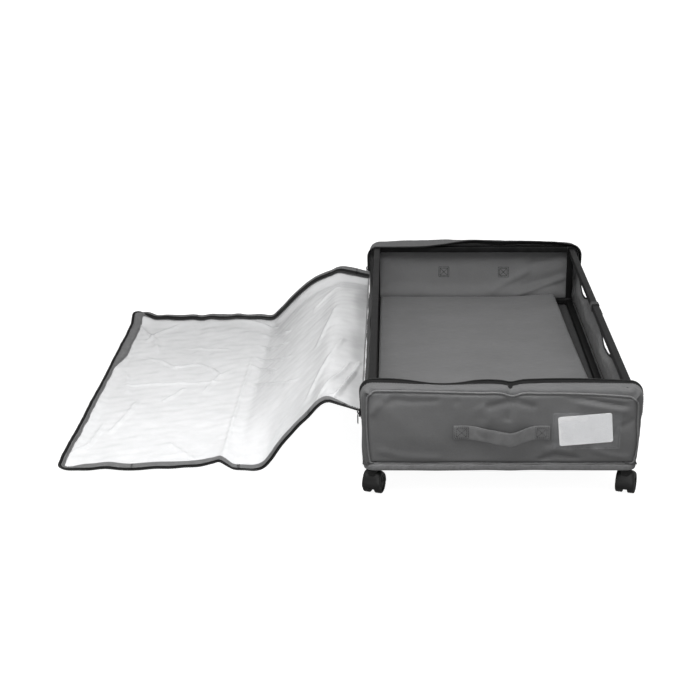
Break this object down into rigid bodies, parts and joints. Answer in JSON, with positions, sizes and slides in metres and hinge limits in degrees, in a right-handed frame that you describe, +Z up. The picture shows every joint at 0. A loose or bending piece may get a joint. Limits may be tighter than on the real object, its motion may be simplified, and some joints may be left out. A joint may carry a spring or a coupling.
{
  "type": "rolling under-bed storage bag",
  "caption": "Long low grey fabric storage bag on a black steel tube frame with twin-wheel castors, clear zip-round lid folded open to the left, strap handles and a card pocket.",
  "frame": {"origin": "centre of the whole footprint, open lid included, on the floor under the castors", "axes": "+X to the right across the bag (the open lid lies towards -X), +Y to the back along the bag, +Z up; the end with the label card faces -Y"},
  "size_m": [1.0252, 0.9906, 0.2005],
  "materials": {
    "grey_fabric": "matt non-woven bag fabric, dark neutral grey",
    "board_cloth": "matt grey cloth over a stiff board",
    "grey_webbing": "matt woven webbing, grey",
    "black_steel": "black powder coat, satin",
    "black_plastic": "moulded black plastic, satin",
    "castor_tyre": "moulded black nylon wheel",
    "zinc_steel": "zinc plated",
    "clear_sheet": "clear soft sheet, slightly frosted, glossy",
    "pocket_film": "clear glossy film",
    "card": "white uncoated card",
    "zip_metal": "black enamelled zip hardware"
  },
  "bodies": {
    "bag": {"bottom_rail_left": "black_steel", "bottom_rail_right": "black_steel", "bottom_rail_front": "black_steel", "bottom_rail_back": "black_steel", "top_rail_left": "black_steel", "top_rail_right": "black_steel", "top_rail_front": "black_steel", "top_rail_back": "black_steel", "corner_post_fl": "black_steel", "corner_post_fr": "black_steel", "corner_post_bl": "black_steel", "corner_post_br": "black_steel", "top_connector_fl": "black_plastic", "bottom_connector_fl": "black_plastic", "castor_fl_stem": "zinc_steel", "top_connector_fr": "black_plastic", "bottom_connector_fr": "black_plastic", "castor_fr_stem": "zinc_steel", "top_connector_bl": "black_plastic", "bottom_connector_bl": "black_plastic", "castor_bl_stem": "zinc_steel", "top_connector_br": "black_plastic", "bottom_connector_br": "black_plastic", "castor_br_stem": "zinc_steel", "rail_loop_right": "grey_fabric", "bag_floor": "grey_fabric", "front_panel": "grey_fabric", "back_panel": "grey_fabric", "left_wall": "grey_fabric", "right_wall": "grey_fabric", "front_gusset": "grey_fabric", "back_gusset": "grey_fabric", "front_handle": "grey_webbing", "back_handle": "grey_webbing", "label_pocket": "pocket_film"},
    "base_board": {"base_board": "board_cloth"},
    "label_card": {"label_card": "card"},
    "lid_flap": {"lid_hinge_flap": "clear_sheet"},
    "lid_near": {"lid_near_panel": "clear_sheet"},
    "lid_fold": {"lid_fold_strip": "clear_sheet"},
    "lid_far": {"lid_far_panel": "clear_sheet"},
    "lid_end": {"lid_end_skirt": "clear_sheet"},
    "castor_fl": {"castor_fl_hood": "black_plastic"},
    "wheel_fl_l": {"castor_fl_wheel_l": "castor_tyre"},
    "wheel_fl_r": {"castor_fl_wheel_r": "castor_tyre"},
    "castor_fr": {"castor_fr_hood": "black_plastic"},
    "wheel_fr_l": {"castor_fr_wheel_l": "castor_tyre"},
    "wheel_fr_r": {"castor_fr_wheel_r": "castor_tyre"},
    "castor_bl": {"castor_bl_hood": "black_plastic"},
    "wheel_bl_l": {"castor_bl_wheel_l": "castor_tyre"},
    "wheel_bl_r": {"castor_bl_wheel_r": "castor_tyre"},
    "castor_br": {"castor_br_hood": "black_plastic"},
    "wheel_br_l": {"castor_br_wheel_l": "castor_tyre"},
    "wheel_br_r": {"castor_br_wheel_r": "castor_tyre"},
    "slider_front": {"zip_slider_front": "zip_metal"},
    "pull_front": {"zip_pull_front": "zip_metal"},
    "slider_back": {"zip_slider_back": "zip_metal"},
    "pull_back": {"zip_pull_back": "zip_metal"}
  },
  "joints": [
    {"name": "lid_seam_hinge", "type": "hinge", "parent": "bag", "child": "lid_flap", "pos_m": [0.03194, 0, 0.1375], "axis": [0, 1, 0], "range_deg": [0, 75]},
    {"name": "lid_crown_fold", "type": "hinge", "parent": "lid_flap", "child": "lid_near", "pos_m": [-0.03056, 0, 0.15425], "axis": [0, 1, 0], "range_deg": [0, 147]},
    {"name": "lid_sway", "type": "slide", "parent": "lid_near", "child": "lid_fold", "axis": [0, -1, 0], "range_m": [0, 0.05]},
    {"name": "lid_floor_fold", "type": "hinge", "parent": "lid_fold", "child": "lid_far", "pos_m": [-0.20064, 0.05, 0.0011], "axis": [0, -1, 0], "range_deg": [0, 42]},
    {"name": "lid_end_fold", "type": "hinge", "parent": "lid_far", "child": "lid_end", "pos_m": [-0.44657, 0.05, 0.0011], "axis": [0, 1, 0], "range_deg": [0, 90]},
    {"name": "castor_fl_swivel", "type": "hinge", "parent": "bag", "child": "castor_fl", "pos_m": [0.05084, -0.4535, 0.05], "axis": [0, 0, 1], "continuous": true},
    {"name": "wheel_fl_l_spin", "type": "hinge", "parent": "castor_fl", "child": "wheel_fl_l", "pos_m": [0.05377, -0.44446, 0.017], "axis": [0.9511, -0.309, 0], "continuous": true},
    {"name": "wheel_fl_r_spin", "type": "hinge", "parent": "castor_fl", "child": "wheel_fl_r", "pos_m": [0.05377, -0.44446, 0.017], "axis": [0.9511, -0.309, 0], "continuous": true},
    {"name": "castor_fr_swivel", "type": "hinge", "parent": "bag", "child": "castor_fr", "pos_m": [0.48784, -0.4535, 0.05], "axis": [0, 0, 1], "continuous": true},
    {"name": "wheel_fr_l_spin", "type": "hinge", "parent": "castor_fr", "child": "wheel_fr_l", "pos_m": [0.49077, -0.44446, 0.017], "axis": [0.9511, -0.309, 0], "continuous": true},
    {"name": "wheel_fr_r_spin", "type": "hinge", "parent": "castor_fr", "child": "wheel_fr_r", "pos_m": [0.49077, -0.44446, 0.017], "axis": [0.9511, -0.309, 0], "continuous": true},
    {"name": "castor_bl_swivel", "type": "hinge", "parent": "bag", "child": "castor_bl", "pos_m": [0.05084, 0.4535, 0.05], "axis": [0, 0, 1], "continuous": true},
    {"name": "wheel_bl_l_spin", "type": "hinge", "parent": "castor_bl", "child": "wheel_bl_l", "pos_m": [0.05377, 0.46253, 0.017], "axis": [0.9511, -0.309, 0], "continuous": true},
    {"name": "wheel_bl_r_spin", "type": "hinge", "parent": "castor_bl", "child": "wheel_bl_r", "pos_m": [0.05377, 0.46253, 0.017], "axis": [0.9511, -0.309, 0], "continuous": true},
    {"name": "castor_br_swivel", "type": "hinge", "parent": "bag", "child": "castor_br", "pos_m": [0.48784, 0.4535, 0.05], "axis": [0, 0, 1], "continuous": true},
    {"name": "wheel_br_l_spin", "type": "hinge", "parent": "castor_br", "child": "wheel_br_l", "pos_m": [0.49077, 0.46253, 0.017], "axis": [0.9511, -0.309, 0], "continuous": true},
    {"name": "wheel_br_r_spin", "type": "hinge", "parent": "castor_br", "child": "wheel_br_r", "pos_m": [0.49077, 0.46253, 0.017], "axis": [0.9511, -0.309, 0], "continuous": true},
    {"name": "zip_front_slide", "type": "slide", "parent": "bag", "child": "slider_front", "axis": [0, 0, 1], "range_m": [0, 0.04]},
    {"name": "zip_front_pull", "type": "hinge", "parent": "slider_front", "child": "pull_front", "pos_m": [0.02684, -0.4445, 0.1524], "axis": [0, 1, 0], "range_deg": [0, 90]},
    {"name": "zip_back_slide", "type": "slide", "parent": "bag", "child": "slider_back", "axis": [0, 0, 1], "range_m": [0, 0.04]},
    {"name": "zip_back_pull", "type": "hinge", "parent": "slider_back", "child": "pull_back", "pos_m": [0.02684, 0.4445, 0.1524], "axis": [0, 1, 0], "range_deg": [0, 90]},
    {"name": "base_board_lift", "type": "slide", "parent": "bag", "child": "base_board", "axis": [0, 0, 1], "range_m": [0, 0.1]},
    {"name": "label_card_slide", "type": "slide", "parent": "bag", "child": "label_card", "axis": [0, 0, 1], "range_m": [0, 0.07]}
  ],
  "couplings": [
    {"joint": "lid_seam_hinge", "follows": "lid_floor_fold", "ratio": 1.7857},
    {"joint": "lid_crown_fold", "follows": "lid_floor_fold", "ratio": 3.5},
    {"joint": "lid_sway", "follows": "lid_floor_fold", "m_per_rad": 0.068209},
    {"joint": "lid_end_fold", "follows": "lid_floor_fold", "ratio": 2.1429}
  ]
}
